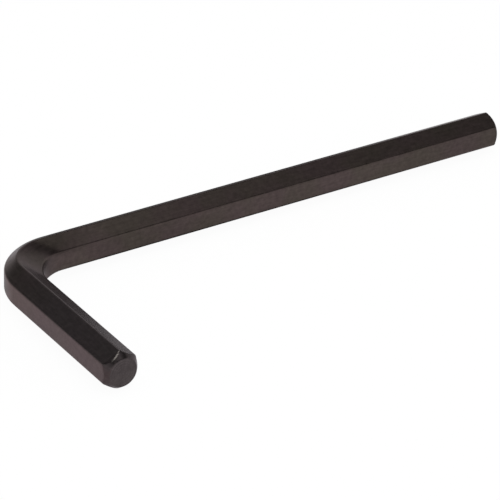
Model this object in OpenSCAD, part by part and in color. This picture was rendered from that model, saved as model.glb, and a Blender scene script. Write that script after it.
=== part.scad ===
// Hex key: one hexagonal steel bar bent to an L, with a turned bevel at each tip.
// It lies as it does on a bench, resting on the lower edge of both arms.
// Z is up. The origin is the centre of the footprint, at bench level.
// The long arm runs along X, and the short arm leaves its -X end towards -Y.

/* [Bar] */
// Width across flats, which is the size of screw socket that the key turns
across_flats = 5; // [1.5:0.5:8]
// Width across corners, per mm across flats: a drawn bar has its corners worn down
corner_ratio = 1.13; // [1.12:0.005:1.15]

/* [Arms] */
// Long arm, from the outside of the bend to its tip
long_arm = 85; // [75:1:230]
// Short arm, from the outside of the bend to its tip
short_arm = 33.8; // [30:0.1:100]

/* [Bend] */
// Radius on the inside of the bend, per mm across flats
inside_ratio = 1.12; // [1:0.01:1.5]
// Radius of the edges at top and bottom, per mm across flats
ridge_ratio = 1.04; // [0.9:0.01:1.3]
// Radius on the outside of the bend, per mm across flats
outside_ratio = 1.97; // [1.4:0.01:2]
// Share of its height that the squeezed inside of the bend gains
inside_gain = 0.15; // [0:0.01:0.2]
// Share of its height that the bar loses at the edges at top and bottom
ridge_loss = 0.03; // [0:0.01:0.1]
// Share of its height that the stretched outside of the bend loses
outside_loss = 0.1; // [0:0.01:0.2]

/* [Tips] */
// Diameter of the flat disc left at each tip, per mm across flats
tip_ratio = 0.83; // [0.7:0.01:0.9]
// Length of the turned bevel at the corners of the long arm, per mm across flats
long_bevel_ratio = 0.12; // [0.1:0.01:0.4]
// Length of the turned bevel at the corners of the short arm, per mm across flats
short_bevel_ratio = 0.2; // [0.1:0.01:0.4]

/* [Hidden] */
round_steps = 96;
bend_steps = 30;
right_angle = 90;
// Radii of the section and of the tip
flat_radius = across_flats / 2;
corner_radius = flat_radius * corner_ratio;
tip_radius = flat_radius * tip_ratio;
long_bevel = across_flats * long_bevel_ratio;
short_bevel = across_flats * short_bevel_ratio;
// The lathe tool's path starts clear of the corners
turn_radius = 2 * corner_radius - tip_radius;
// Distance along an arm from the meeting point of the two middle lines to the bend
bend_start = across_flats * inside_ratio + flat_radius;
// Straight part of each arm, from the end of the bend to the tip
long_straight = long_arm - flat_radius - bend_start;
short_straight = short_arm - flat_radius - bend_start;
// Pole about which the bend is laid out, seen from the centre of the footprint
pole_x = flat_radius + bend_start - long_arm / 2;
pole_y = short_arm / 2 - flat_radius - bend_start;

// Hexagon with worn corners, each point as [outwards, up] to the nearest micron
micron = 0.001;
corner_step = 60;
worn_angle = corner_step / 2 - acos(flat_radius / corner_radius);
section = [
    for (corner = [0:corner_step:359])
        for (side = [-1, 1])
            let (turn = corner + side * worn_angle)
                [
                    round(corner_radius * sin(turn) / micron) * micron,
                    round(corner_radius * cos(turn) / micron) * micron
                ]
];
section_top = section[0].y;

// Radius of the bend for a line that runs so far outwards from the middle
function line_radius(out) =
    let (share = abs(out) / flat_radius, edge = out < 0 ? inside_ratio : outside_ratio)
        across_flats * (ridge_ratio + (edge - ridge_ratio) * share);

// Distance from the pole to that line, at an angle round the bend
function reach(out, angle) =
    let (
        radius = line_radius(out),
        lead = bend_start + out - radius,
        straight_until = atan(lead / (bend_start + out)),
        from_arm = min(angle, right_angle - angle),
        gap = lead * sqrt(2),
        off_middle = angle - right_angle / 2
    )
        from_arm < straight_until
            ? (bend_start + out) / cos(from_arm)
            : gap * cos(off_middle) + sqrt(radius ^ 2 - (gap * sin(off_middle)) ^ 2);

// Height of that line there, as a share of its height in the arms
function height_share(out, angle) =
    let (
        share = abs(out) / flat_radius,
        edge_loss = out < 0 ? -inside_gain : outside_loss,
        loss = ridge_loss + (edge_loss - ridge_loss) * share
    )
        1 - loss * sin(2 * angle) ^ 2;

// The drawn section
module bar_section() {
    polygon(section);
}

// Envelope that the lathe leaves: full bar, then a cone down to the tip disc
module turned_envelope(length, bevel) {
    rotate_extrude($fn = round_steps)
        polygon([
            [0, 0],
            [turn_radius, 0],
            [turn_radius, length - 2 * bevel],
            [tip_radius, length],
            [0, length]
        ]);
}

// One straight arm with its bevelled tip, running up from the end of the bend
module arm(length, bevel) {
    intersection() {
        linear_extrude(height = length) bar_section();
        turned_envelope(length, bevel);
    }
}

// Quarter turn that joins the arms: a loft through the section at each angle
module bend() {
    count = len(section);
    rings = [
        for (step = [0:bend_steps])
            let (angle = right_angle * step / bend_steps)
                for (point = section)
                    let (distance = reach(point.x, angle))
                        [
                            -distance * sin(angle),
                            distance * cos(angle),
                            point.y * height_share(point.x, angle)
                        ]
    ];
    sides = [
        for (step = [0:bend_steps - 1])
            for (index = [0:count - 1])
                let (
                    next = (index + 1) % count,
                    near = step * count,
                    far = near + count
                )
                    each [
                        [near + index, far + index, near + next],
                        [near + next, far + index, far + next]
                    ]
    ];
    last = bend_steps * count;
    first_end = [for (index = [0:count - 1]) index];
    last_end = [for (index = [0:count - 1]) last + count - 1 - index];
    polyhedron(points = rings, faces = concat(sides, [first_end, last_end]));
}

module hex_key() {
    color("#3a3533")
        translate([pole_x, pole_y, section_top])
            union() {
                bend();
                translate([0, bend_start, 0])
                    rotate([right_angle, 0, right_angle])
                        arm(long_straight, long_bevel);
                translate([-bend_start, 0, 0])
                    rotate([right_angle, 0, 0])
                        mirror([1, 0, 0])
                            arm(short_straight, short_bevel);
            }
}

hex_key();
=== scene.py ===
import math

import bpy
from mathutils import Matrix, Vector


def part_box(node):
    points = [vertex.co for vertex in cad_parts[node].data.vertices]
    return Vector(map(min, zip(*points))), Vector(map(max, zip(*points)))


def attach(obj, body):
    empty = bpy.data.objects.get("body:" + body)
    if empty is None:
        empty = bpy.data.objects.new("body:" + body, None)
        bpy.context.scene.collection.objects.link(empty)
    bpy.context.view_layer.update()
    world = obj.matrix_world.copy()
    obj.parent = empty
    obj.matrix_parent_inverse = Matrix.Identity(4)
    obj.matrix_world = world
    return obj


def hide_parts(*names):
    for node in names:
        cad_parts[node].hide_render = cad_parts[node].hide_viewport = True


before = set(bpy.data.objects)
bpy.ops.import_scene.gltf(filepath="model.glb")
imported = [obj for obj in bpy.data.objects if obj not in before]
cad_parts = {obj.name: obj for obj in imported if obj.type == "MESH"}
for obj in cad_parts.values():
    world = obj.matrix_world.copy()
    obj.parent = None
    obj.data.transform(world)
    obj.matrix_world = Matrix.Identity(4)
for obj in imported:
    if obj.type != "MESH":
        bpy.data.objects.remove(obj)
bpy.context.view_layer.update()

# Sizes in mm, as in the part's source
MM = 0.001
FLATS = 5.0
FLAT_RADIUS = FLATS / 2
INSIDE_RADIUS = 1.12 * FLATS
RIDGE_RADIUS = 1.04 * FLATS
OUTSIDE_RADIUS = 1.97 * FLATS
BEND_START = INSIDE_RADIUS + FLAT_RADIUS
INSIDE_GAIN, RIDGE_LOSS, OUTSIDE_LOSS = 0.15, 0.03, 0.1
TIP_RADIUS = 0.83 * FLAT_RADIUS
LONG_BEVEL = 0.12 * FLATS
SHORT_BEVEL = 0.2 * FLATS

low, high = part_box("hex_key")
LONG_ARM = (high[0] - low[0]) / MM
SHORT_ARM = (high[1] - low[1]) / MM
LONG_STRAIGHT = LONG_ARM - FLAT_RADIUS - BEND_START
SHORT_STRAIGHT = SHORT_ARM - FLAT_RADIUS - BEND_START
RIGHT_ANGLE = math.pi / 2
BEND_LENGTH = BEND_START * math.pi / 2
POLE_X = FLAT_RADIUS + BEND_START - LONG_ARM / 2
POLE_Y = SHORT_ARM / 2 - FLAT_RADIUS - BEND_START

# Points along a flat, as shares of it: one is close to each end, so that the flat shades flat
FLAT_SHARES = (0.02, 0.16, 0.3, 0.43, 0.57, 0.7, 0.84, 0.98)
# Rounded corners of the section: radius in mm, and steps in degrees
EDGE_ROUND = 0.4
CORNER_STEP, HALF_CORNER, ROUND_STEP = 60, 30, 10
CORNER_CENTRE = (FLAT_RADIUS - EDGE_ROUND) / math.cos(math.radians(HALF_CORNER))
CORNER_RADIUS = CORNER_CENTRE + EDGE_ROUND
AXIS_HEIGHT = CORNER_RADIUS

# Rings of the mesh: how many along each part, and (start, step, count) of the radii at a tip
LONG_RINGS, BEND_RINGS, SHORT_RINGS = 60, 64, 20
DISC_RINGS = (0.15, 0.16, 12)
RIM_RINGS = (TIP_RADIUS - 0.1, 0.02, 11)
BEVEL_RINGS = (TIP_RADIUS + 0.12, 0.022, 34)
RING_GAP = 0.02
# Widths in mm over which the rim of the disc and the edges of the bevel are rounded
RIM_ROUND, BEVEL_ROUND = 0.06, 0.07
# What the finish takes as the distance from the axis away from the tips: beyond any groove
OFF_TIP = 9.0

# Bare streak on an edge of the short tip: width in mm, and its place round the bar in degrees
WORN_WIDTH = 0.06
WORN_START, WORN_END = -2.0, 37.0
# How far it moves outwards along its way, how fast it fades at its ends, how faint it starts
WORN_SHIFT, WORN_FADE, WORN_FAINT = 0.12, 6, 0.4


def corner_point(corner, turn):
    """Point (outwards, up) on a rounded corner, turned from its middle, all in degrees."""
    middle = math.radians(corner)
    t = middle + math.radians(turn)
    return (
        CORNER_CENTRE * math.sin(middle) + EDGE_ROUND * math.sin(t),
        CORNER_CENTRE * math.cos(middle) + EDGE_ROUND * math.cos(t),
    )


def section():
    """The bar's section as points (outwards, up): flats joined by small rounded corners."""
    points = []
    for corner in range(0, 360, CORNER_STEP):
        for turn in range(-HALF_CORNER, HALF_CORNER + 1, ROUND_STEP):
            points.append(corner_point(corner, turn))
        start = points[-1]
        end = corner_point(corner + CORNER_STEP, -HALF_CORNER)
        for share in FLAT_SHARES:
            points.append(tuple(a + (b - a) * share for a, b in zip(start, end)))
    return points


def reach(out, angle):
    """Distance from the bend's pole to a line of the bar, at an angle round the bend."""
    share = abs(out) / FLAT_RADIUS
    edge = INSIDE_RADIUS if out < 0 else OUTSIDE_RADIUS
    radius = RIDGE_RADIUS + (edge - RIDGE_RADIUS) * share
    lead = BEND_START + out - radius
    straight_until = math.atan(lead / (BEND_START + out))
    from_arm = min(angle, RIGHT_ANGLE - angle)
    if from_arm < straight_until:
        return (BEND_START + out) / math.cos(from_arm)
    gap = lead * math.sqrt(2)
    off_middle = angle - RIGHT_ANGLE / 2
    return gap * math.cos(off_middle) + math.sqrt(
        radius**2 - (gap * math.sin(off_middle)) ** 2
    )


def height_share(out, angle):
    """Height of that line there, as a share of its height in the arms."""
    edge_loss = -INSIDE_GAIN if out < 0 else OUTSIDE_LOSS
    loss = RIDGE_LOSS + (edge_loss - RIDGE_LOSS) * abs(out) / FLAT_RADIUS
    return 1 - loss * math.sin(2 * angle) ** 2


def smooth_min(a, b, width):
    """The smaller of two values, with the change from one to the other rounded."""
    h = max(width - abs(a - b), 0) / width
    return min(a, b) - h * h * width / 4


def on_long_arm(out, up, from_tip):
    return (LONG_ARM / 2 - from_tip, POLE_Y + BEND_START + out, AXIS_HEIGHT + up)


def on_short_arm(out, up, from_tip):
    return (POLE_X - BEND_START - out, -SHORT_ARM / 2 + from_tip, AXIS_HEIGHT + up)


def in_bend(out, up, angle):
    distance = reach(out, angle)
    return (
        POLE_X - distance * math.sin(angle),
        POLE_Y + distance * math.cos(angle),
        AXIS_HEIGHT + up * height_share(out, angle),
    )


def tip_rings(bevel):
    """Rings from the middle of a tip to the full bar: (clip radius, distance from the tip)."""
    slope = (CORNER_RADIUS - TIP_RADIUS) / bevel
    rings = []
    for first, step, count in (DISC_RINGS, RIM_RINGS, BEVEL_RINGS):
        for i in range(count):
            radius = first + step * i
            depth = (radius - TIP_RADIUS) / slope
            rings.append((radius, -smooth_min(0, -depth, RIM_ROUND)))
    return rings


def bare_edge(out, up, clip):
    """How far the oxide is rubbed off the edge of the short tip's bevel, under the top corner."""
    size = math.hypot(out, up)
    turn = math.degrees(math.atan2(out, up))
    share = (turn - WORN_START) / (WORN_END - WORN_START)
    across = max(0, 1 - abs(size - clip - WORN_SHIFT * share) / WORN_WIDTH)
    along = max(0, min(1, WORN_FADE * share, WORN_FADE * (1 - share)))
    return across * along * (WORN_FAINT + (1 - WORN_FAINT) * share)


def bar():
    """The whole key: its vertices, faces, and what the finish needs to know at each vertex.

    That is (length along the bar, place round it, distance from the axis at a tip, bare steel).
    """
    ring = section()
    count = len(ring)
    verts, where = [], []
    around = [0.0]
    for i in range(1, count):
        around.append(around[-1] + math.dist(ring[i], ring[i - 1]))

    def add(place, spot, along, clip=None, worn=False):
        """Add a ring at a spot on an arm or in the bend, cut down to the clip radius at a tip."""
        tip = clip if clip else OFF_TIP
        for i, (out, up) in enumerate(ring):
            size = math.hypot(out, up)
            k = smooth_min(size, clip, BEVEL_ROUND) / size if clip else 1.0
            verts.append(place(out * k, up * k, spot))
            bare = bare_edge(out, up, clip) if worn else 0.0
            where.append((along, around[i], tip, bare))

    tips = tip_rings(LONG_BEVEL)
    for clip, t in tips:
        add(on_long_arm, t, t, clip)
    start = tips[-1][1] + RING_GAP
    for i in range(LONG_RINGS + 1):
        t = start + (LONG_STRAIGHT - start) * i / LONG_RINGS
        add(on_long_arm, t, t)
    for i in range(1, BEND_RINGS):
        angle = RIGHT_ANGLE * i / BEND_RINGS
        add(in_bend, angle, LONG_STRAIGHT + BEND_LENGTH * i / BEND_RINGS)
    tips = tip_rings(SHORT_BEVEL)
    start = tips[-1][1] + RING_GAP
    base = LONG_STRAIGHT + BEND_LENGTH
    for i in range(SHORT_RINGS + 1):
        t = SHORT_STRAIGHT + (start - SHORT_STRAIGHT) * i / SHORT_RINGS
        add(on_short_arm, t, base + SHORT_STRAIGHT - t)
    for clip, t in reversed(tips):
        add(on_short_arm, t, base + SHORT_STRAIGHT - t, clip, True)
    faces = []
    rings = len(verts) // count
    for r in range(rings - 1):
        for i in range(count):
            j = (i + 1) % count
            a, b = r * count, (r + 1) * count
            faces.append((a + i, a + j, b + j, b + i))
    # Close each tip with a fan round its middle
    for first, place, flip in ((0, on_long_arm, False), (rings - 1, on_short_arm, True)):
        middle = len(verts)
        verts.append(place(0, 0, 0))
        where.append((where[first * count][0], 0.0, 0.0, 0.0))
        for i in range(count):
            j = (i + 1) % count
            a, b = first * count + i, first * count + j
            faces.append((middle, a, b) if flip else (middle, b, a))
    return verts, faces, where


def feed(tree, socket, value):
    """Link a socket to another one, or set its value."""
    if isinstance(value, bpy.types.NodeSocket):
        tree.links.new(value, socket)
    else:
        socket.default_value = value


def node(tree, kind, **inputs):
    """A shader node with its inputs fed. A name that is no input is a setting of the node."""
    n = tree.nodes.new(kind)
    for key, value in inputs.items():
        if key in n.inputs.keys():
            feed(tree, n.inputs[key], value)
        else:
            setattr(n, key, value)
    return n


def math_node(tree, operation, *values):
    n = node(tree, "ShaderNodeMath", operation=operation)
    for socket, value in zip(n.inputs, values):
        feed(tree, socket, value)
    return n.outputs[0]


def both_of(tree, first, second):
    """One share times another."""
    return math_node(tree, "MULTIPLY", first, second)


def either_of(tree, first, second):
    """The larger of two shares."""
    return math_node(tree, "MAXIMUM", first, second)


def ramp(tree, value, stops):
    """A colour ramp of greys through (position, grey) stops."""
    n = node(tree, "ShaderNodeValToRGB", Fac=value)
    elements = n.color_ramp.elements
    while len(elements) < len(stops):
        elements.new(0.5)
    for element, (position, grey) in zip(elements, stops):
        element.position = position
        element.color = (grey, grey, grey, 1)
    return n.outputs[0]


def noise(tree, vector, scale, detail):
    n = node(tree, "ShaderNodeTexNoise", Vector=vector, Scale=scale, Detail=detail)
    return n.outputs["Fac"]


def colour_mix(tree, factor, first, second):
    """A mix of two colours, each a socket or four numbers."""
    n = node(tree, "ShaderNodeMix", data_type="RGBA")
    tree.links.new(factor, n.inputs["Factor"])
    slots = [i for i in n.inputs if i.type == "RGBA"]
    for slot, colour in zip(slots, (first, second)):
        feed(tree, slot, colour)
    return [o for o in n.outputs if o.type == "RGBA"][0]


def shader_mix(tree, factor, first, second):
    n = node(tree, "ShaderNodeMixShader", Fac=factor)
    tree.links.new(first, n.inputs[1])
    tree.links.new(second, n.inputs[2])
    return n.outputs[0]


RISE, FALL = (0, 1), (1, 0)


def spread(tree, value, ends_in, ends_out=RISE):
    """Take a value from one pair of ends to another, and hold it beyond them."""
    n = node(tree, "ShaderNodeMapRange", Value=value)
    n.inputs["From Min"].default_value, n.inputs["From Max"].default_value = ends_in
    n.inputs["To Min"].default_value, n.inputs["To Max"].default_value = ends_out
    return n.outputs[0]


def attribute(tree, name):
    n = tree.nodes.new("ShaderNodeAttribute")
    n.attribute_name = name
    return n.outputs["Fac"]


# Colours of the finish
OLIVE = (0.066, 0.054, 0.047, 1)
PLUM = (0.071, 0.053, 0.052, 1)
SLATE = (0.067, 0.058, 0.061, 1)
BARE_STEEL = (0.62, 0.58, 0.52, 1)
EDGE_TINT = (0.88, 0.84, 0.86, 1)
# Noise of the finish: how far it is stretched and shifted, and its scale and detail
STREAK_STRETCH = (0.45, 3.2, 1.0)
CLOUD_SHIFT = (0.02, 0.03, 0.0)
STREAKS, CLOUDS, GRAIN, PATCHES = (1.0, 3), (170.0, 2), (1500.0, 2), (2600.0, 1)
# The part of each noise that shows, and what it does to the finish
NOISE_ENDS, CLOUD_ENDS, PATCH_ENDS = (0.3, 0.7), (0.38, 0.62), (0.4, 0.55)
STREAK_SHADE, GRAIN_SHADE, PATCH_SHARE = (0.9, 1.1), (0.88, 1.12), (0.5, 1)
ROUGHNESS = (0.29, 0.35)
# Places along the bar and round it, in mm from the long tip and from the top edge
SLATE_FROM, SLATE_SHARE = (80.0, 95.0), (0, 0.7)
# Painted shade on top of the long arm where the bend starts: where it comes in and goes out,
# round the bar, and how dark
PAINTED_SHADE_START, PAINTED_SHADE_END, PAINTED_SHADE_ROUND = (69.0, 74.5), (76.5, 79.0), (13.8, 14.6)
PAINTED_SHADE_DEPTH = (1, 0.65)
# The grooves' depth and a painted shade at a tip, by distance from the axis in mm over 5
TIP_SCALE = 5.0
DISC_GROOVES = ((0.0, 0.5), (0.15, 0.3), (0.3, 0.6), (0.4, 1.0), (0.43, 0.0))
TIP_PAINTED_SHADE = ((0.0, 0.92), (0.41, 0.92), (0.45, 0.78), (0.56, 0.78), (0.6, 1.0))
# How closely the grooves follow each other, in radians per mm
GROOVE_PACE = 17.0
# Strength of the streaks' and the grooves' bumps, and their height in metres
DRAWN_STRENGTH, DRAWN_HEIGHT = 0.25, 0.00003
TURNED_STRENGTH, TURNED_HEIGHT = 1.0, 0.00002


def black_oxide():
    """Oiled black oxide on drawn steel.

    It is mottled between olive and plum brown, with fine streaks along the bar,
    turned grooves on the tips, a bare streak on one worn edge, and painted shade on the tips
    and where the bend starts.
    """
    m = bpy.data.materials.new("black_oxide_steel")
    m.use_nodes = True
    tree = m.node_tree
    bsdf = tree.nodes["Principled BSDF"]
    place = tree.nodes.new("ShaderNodeTexCoord").outputs["Object"]
    bar_place = tree.nodes.new("ShaderNodeUVMap")
    bar_place.uv_map = "bar"
    stretched = node(tree, "ShaderNodeMapping", Vector=bar_place.outputs[0])
    stretched.inputs["Scale"].default_value = STREAK_STRETCH
    streaks = noise(tree, stretched.outputs[0], *STREAKS)
    shifted = node(tree, "ShaderNodeMapping", Vector=place)
    shifted.inputs["Location"].default_value = CLOUD_SHIFT
    clouds = noise(tree, shifted.outputs[0], *CLOUDS)
    grain = noise(tree, place, *GRAIN)
    mottled = colour_mix(tree, spread(tree, clouds, CLOUD_ENDS), OLIVE, PLUM)
    split = node(tree, "ShaderNodeSeparateXYZ", Vector=bar_place.outputs[0])
    along, round_bar = split.outputs["X"], split.outputs["Y"]
    hue = colour_mix(tree, spread(tree, along, SLATE_FROM, SLATE_SHARE), mottled, SLATE)
    # Painted shade: darker on top of the long arm where the bend starts
    arrives = both_of(
        tree, spread(tree, along, PAINTED_SHADE_START), spread(tree, along, PAINTED_SHADE_END, FALL)
    )
    painted_shade_place = both_of(tree, arrives, spread(tree, round_bar, PAINTED_SHADE_ROUND))
    painted_shade = spread(tree, painted_shade_place, RISE, PAINTED_SHADE_DEPTH)
    tip = attribute(tree, "tip")
    from_axis = math_node(tree, "DIVIDE", tip, TIP_SCALE)
    # Painted shade: the tips darker, times the painted shade where the bend starts
    shade = both_of(tree, painted_shade, ramp(tree, from_axis, TIP_PAINTED_SHADE))
    speckle = both_of(
        tree,
        spread(tree, streaks, NOISE_ENDS, STREAK_SHADE),
        spread(tree, grain, NOISE_ENDS, GRAIN_SHADE),
    )
    speckled = node(tree, "ShaderNodeVectorMath", operation="SCALE")
    tree.links.new(hue, speckled.inputs[0])
    tree.links.new(both_of(tree, speckle, shade), speckled.inputs["Scale"])
    bare = attribute(tree, "bare")
    patchy = spread(tree, noise(tree, place, *PATCHES), PATCH_ENDS, PATCH_SHARE)
    rubbed = both_of(tree, bare, patchy)
    colour = colour_mix(tree, rubbed, speckled.outputs[0], BARE_STEEL)
    tree.links.new(colour, bsdf.inputs["Base Color"])
    tree.links.new(spread(tree, streaks, NOISE_ENDS, ROUGHNESS), bsdf.inputs["Roughness"])
    drawn = node(tree, "ShaderNodeBump", Height=streaks)
    drawn.inputs["Strength"].default_value = DRAWN_STRENGTH
    drawn.inputs["Distance"].default_value = DRAWN_HEIGHT
    # Turned grooves on the tips, deeper towards the rim
    grooves = math_node(tree, "SINE", math_node(tree, "MULTIPLY", tip, GROOVE_PACE))
    on_disc = ramp(tree, from_axis, DISC_GROOVES)
    turned = node(tree, "ShaderNodeBump", Normal=drawn.outputs[0])
    tree.links.new(both_of(tree, grooves, on_disc), turned.inputs["Height"])
    turned.inputs["Strength"].default_value = TURNED_STRENGTH
    turned.inputs["Distance"].default_value = TURNED_HEIGHT
    tree.links.new(turned.outputs[0], bsdf.inputs["Normal"])
    bsdf.inputs["Metallic"].default_value = 1.0
    bsdf.inputs["Specular Tint"].default_value = EDGE_TINT
    return m


def hex_key():
    verts, faces, where = bar()
    mesh = bpy.data.meshes.new("hex_key_bar")
    mesh.from_pydata([[c * MM for c in v] for v in verts], [], faces)
    uv = mesh.uv_layers.new(name="bar")
    girth = 6 * FLAT_RADIUS
    for p in mesh.polygons:
        rounds = [where[i][1] for i in p.vertices]
        # The last strip of faces ends where the first one starts
        wraps = max(rounds) - min(rounds) > girth / 2
        for loop, i in zip(p.loop_indices, p.vertices):
            along, round_bar = where[i][:2]
            if wraps and round_bar < girth / 2:
                round_bar += max(rounds)
            uv.data[loop].uv = (along, round_bar)
        p.use_smooth = True
    for name, column in (("tip", 2), ("bare", 3)):
        layer = mesh.attributes.new(name, "FLOAT", "POINT")
        for i, w in enumerate(where):
            layer.data[i].value = w[column]
    mesh.materials.append(black_oxide())
    piece = bpy.data.objects.new("hex_key_bar", mesh)
    bpy.context.scene.collection.objects.link(piece)
    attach(piece, "root")
    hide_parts("hex_key")


WHITE = (1, 1, 1, 1)
WARM = (1.14, 0.94, 0.93, 1)
PAPER = (0.8, 0.8, 0.8, 1)
# Glow and paper grey of the floor: to the camera, and its zones of painted shadow in the metal
SEEN_LIGHT, SEEN_GREY = 0.955, 0.08
ZONE_LIGHT, ZONE_GREY = 0.02, 0.1
FLOOR_GREY = 0.74
# Glow in the metal: elsewhere and between the arms, and the share left on the far right
OPEN_TO_BETWEEN, RIGHT_SHARE = (0.63, 0.47), (1, 0.75)
# Zones of the floor where shadow and light are painted for reflections, in metres: over each pair
# the zone comes in or goes out
UNDER_Y, UNDER_X = (0.010, 0.0115), (-0.034, -0.025)
BEHIND_Y, BEHIND_SOURCE = (0.0145, 0.0155), (-0.042, -0.03)
ENDED_SOURCE = (0.015, 0.042)
CORNER_Y, CORNER_END_Y, CORNER_X = (0.012, 0.0135), (0.018, 0.022), (-0.0445, -0.042)
CORNER_SHARE = (0, 0.4)
WARM_X = (-0.045, -0.041)
BETWEEN_X, BETWEEN_END_X = (-0.028, -0.022), (-0.01, 0.0)
RIGHT_X = (0.02, 0.045)
# The back of the long arm, and how far the line of sight in its top drifts along it from there
ARM_BACK, DRIFT = 0.017, 0.63


def white_floor():
    """White floor to the camera, which keeps the shadow, with zones of painted shadow and light
    seen in reflections only.
    """
    bpy.ops.mesh.primitive_plane_add(size=20, location=(0, 0, 0))
    floor = bpy.context.object
    floor.name = "floor"
    m = bpy.data.materials.new("white_floor")
    m.use_nodes = True
    tree = m.node_tree
    tree.nodes.clear()
    path = tree.nodes.new("ShaderNodeLightPath")

    def lit(strength, grey, tint=WHITE):
        """Paper of a grey that also glows."""
        glow = node(tree, "ShaderNodeEmission", Color=tint, Strength=strength)
        paper = node(tree, "ShaderNodeBsdfDiffuse", Color=(grey, grey, grey, 1))
        both = tree.nodes.new("ShaderNodeAddShader")
        tree.links.new(glow.outputs[0], both.inputs[0])
        tree.links.new(paper.outputs[0], both.inputs[1])
        return both.outputs[0]

    rays = path.outputs
    reflected = either_of(tree, rays["Is Glossy Ray"], rays["Is Transmission Ray"])
    paper = node(tree, "ShaderNodeBsdfDiffuse", Color=PAPER)
    # Painted shadow: in reflections the floor under and behind the long arm is grey, fading out
    # near its tip.
    # The grey spreads away from the arm along the line of sight reflected in its top.
    here = tree.nodes.new("ShaderNodeTexCoord").outputs["Object"]
    ground = node(tree, "ShaderNodeSeparateXYZ", Vector=here)
    x, y = ground.outputs["X"], ground.outputs["Y"]
    drift = math_node(tree, "MULTIPLY", math_node(tree, "SUBTRACT", y, ARM_BACK), DRIFT)
    source = math_node(tree, "SUBTRACT", x, drift)
    under = both_of(tree, spread(tree, y, UNDER_Y), spread(tree, x, UNDER_X))
    behind = both_of(tree, spread(tree, y, BEHIND_Y), spread(tree, source, BEHIND_SOURCE))
    # A fainter painted shadow at the corner of the bend
    corner = both_of(
        tree, spread(tree, y, CORNER_Y, CORNER_SHARE), spread(tree, y, CORNER_END_Y, FALL)
    )
    outside = both_of(tree, corner, spread(tree, x, CORNER_X))
    painted_shadow_zones = either_of(tree, either_of(tree, under, behind), outside)
    grey = both_of(tree, painted_shadow_zones, spread(tree, source, ENDED_SOURCE, FALL))
    # It is warmer on the far left, and dimmer between the arms and on the far right
    tint = colour_mix(tree, spread(tree, x, WARM_X, FALL), WHITE, WARM)
    between = both_of(
        tree, spread(tree, x, BETWEEN_X), spread(tree, x, BETWEEN_END_X, FALL)
    )
    light = both_of(
        tree, spread(tree, between, RISE, OPEN_TO_BETWEEN), spread(tree, x, RIGHT_X, RIGHT_SHARE)
    )
    bright, dim = lit(light, FLOOR_GREY, tint), lit(ZONE_LIGHT, ZONE_GREY)
    zoned = shader_mix(tree, grey, bright, dim)
    in_metal = shader_mix(tree, reflected, paper.outputs[0], zoned)
    seen = shader_mix(tree, rays["Is Camera Ray"], in_metal, lit(SEEN_LIGHT, SEEN_GREY))
    out = tree.nodes.new("ShaderNodeOutputMaterial")
    tree.links.new(seen, out.inputs["Surface"])
    floor.data.materials.append(m)


# Greys of the room by height, from the horizon (0) to overhead (1)
HIGH_BAND = ((0.58, 0.55), (0.66, 0.1), (0.82, 0.05), (0.9, 0.85), (1.0, 0.75))
BACK_LEFT = (
    (0.0, 1.0),
    (0.08, 0.85),
    (0.16, 0.48),
    (0.3, 0.28),
    (0.4, 0.22),
    (0.65, 0.28),
    (0.87, 0.4),
    (1.0, 0.42),
)
BACK_RIGHT = ((0.0, 0.3), (0.08, 0.42), (0.2, 0.75), (0.35, 0.98), (0.48, 0.95)) + HIGH_BAND
FRONT = ((0.0, 0.95), (0.48, 0.95)) + HIGH_BAND
# Where the back turns from left to right, leaning over with height, and from back to front
LEAN, LEFT_TO_RIGHT, BACK_TO_FRONT = 0.5, (0.25, 0.4), (0.45, 0.1)


def studio():
    """Soft room: bright at the horizon and to the front, with a dim band high up."""
    world = bpy.data.worlds.new("studio")
    bpy.context.scene.world = world
    world.use_nodes = True
    tree = world.node_tree
    tree.nodes.clear()
    direction = tree.nodes.new("ShaderNodeTexCoord").outputs["Generated"]
    split = node(tree, "ShaderNodeSeparateXYZ", Vector=direction)
    height = split.outputs["Z"]
    back_left = ramp(tree, height, BACK_LEFT)
    back_right = ramp(tree, height, BACK_RIGHT)
    front = ramp(tree, height, FRONT)
    lean = math_node(tree, "MULTIPLY_ADD", height, LEAN, split.outputs["X"])
    back = colour_mix(tree, spread(tree, lean, LEFT_TO_RIGHT), back_left, back_right)
    turned = spread(tree, split.outputs["Y"], BACK_TO_FRONT)
    room = node(
        tree, "ShaderNodeBackground", Color=colour_mix(tree, turned, back, front), Strength=1.0
    )
    white = node(tree, "ShaderNodeBackground", Color=WHITE, Strength=1.0)
    path = tree.nodes.new("ShaderNodeLightPath")
    seen = shader_mix(tree, path.outputs["Is Camera Ray"], room.outputs[0], white.outputs[0])
    out = tree.nodes.new("ShaderNodeOutputWorld")
    tree.links.new(seen, out.inputs["Surface"])


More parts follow.
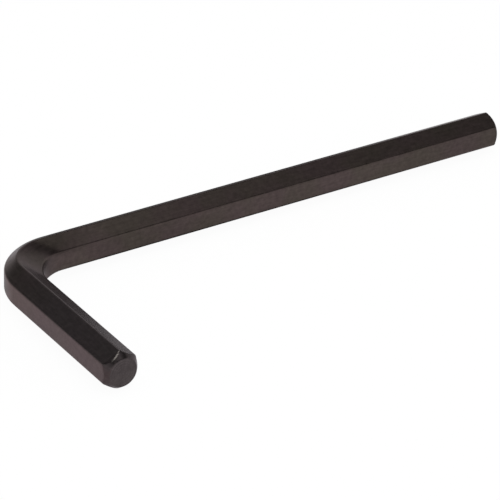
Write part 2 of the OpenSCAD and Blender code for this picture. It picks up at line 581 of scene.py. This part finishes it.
def lamp(name, place, size, radiance, aim):
    """A square soft lamp in metres, as bright as radiance, turned to a point."""
    data = bpy.data.lights.new(name, "AREA")
    data.size = size
    data.energy = radiance * math.pi * size**2
    obj = bpy.data.objects.new(name, data)
    obj.location = place
    obj.rotation_mode = "QUATERNION"
    obj.rotation_quaternion = (Vector(aim) - Vector(place)).to_track_quat("-Z", "Y")
    bpy.context.scene.collection.objects.link(obj)


# The camera, solved from the edges of the bar in the photograph, in degrees
CAMERA_TURN, CAMERA_TILT, CAMERA_ROLL = -34.504, 29.516, 2.238
# Its distances from the corner where the middle lines of the arms meet, in widths across flats
CAMERA_DISTANCE, CAMERA_ASIDE, CAMERA_ABOVE = 84.28, -6.692, -0.471
# Focal length and side of the photograph in pixels, and the sensor's width in mm
FOCAL_PX, FRAME_PX, SENSOR_MM = 3115.026, 500, 36
CLIP_NEAR, CLIP_FAR = 0.01, 50


def camera():
    turn, tilt, roll = map(math.radians, (CAMERA_TURN, CAMERA_TILT, CAMERA_ROLL))
    back = Vector(
        (
            math.sin(turn) * math.cos(tilt),
            -math.cos(turn) * math.cos(tilt),
            math.sin(tilt),
        )
    )
    level = Vector((math.cos(turn), math.sin(turn), 0))
    upright = back.cross(level)
    right = math.cos(roll) * level + math.sin(roll) * upright
    up = math.cos(roll) * upright - math.sin(roll) * level
    corner = Vector((POLE_X - BEND_START, POLE_Y + BEND_START, AXIS_HEIGHT))
    distance, aside, above = (
        share * FLATS for share in (CAMERA_DISTANCE, CAMERA_ASIDE, CAMERA_ABOVE)
    )
    data = bpy.data.cameras.new("camera")
    data.sensor_width = SENSOR_MM
    data.lens = FOCAL_PX / FRAME_PX * data.sensor_width
    data.clip_start, data.clip_end = CLIP_NEAR, CLIP_FAR
    cam = bpy.data.objects.new("camera", data)
    cam.location = (corner + distance * back - aside * right - above * up) * MM
    cam.rotation_mode = "QUATERNION"
    cam.rotation_quaternion = Matrix((right, up, back)).transposed().to_quaternion()
    bpy.context.scene.collection.objects.link(cam)
    bpy.context.scene.camera = cam


hex_key()
white_floor()
studio()
lamp("soft_lamp", place=(-0.015, -0.01, 0.16), size=0.1, radiance=0.7, aim=(-0.04, 0, 0))
camera()
bpy.context.scene.view_settings.view_transform = "Standard"
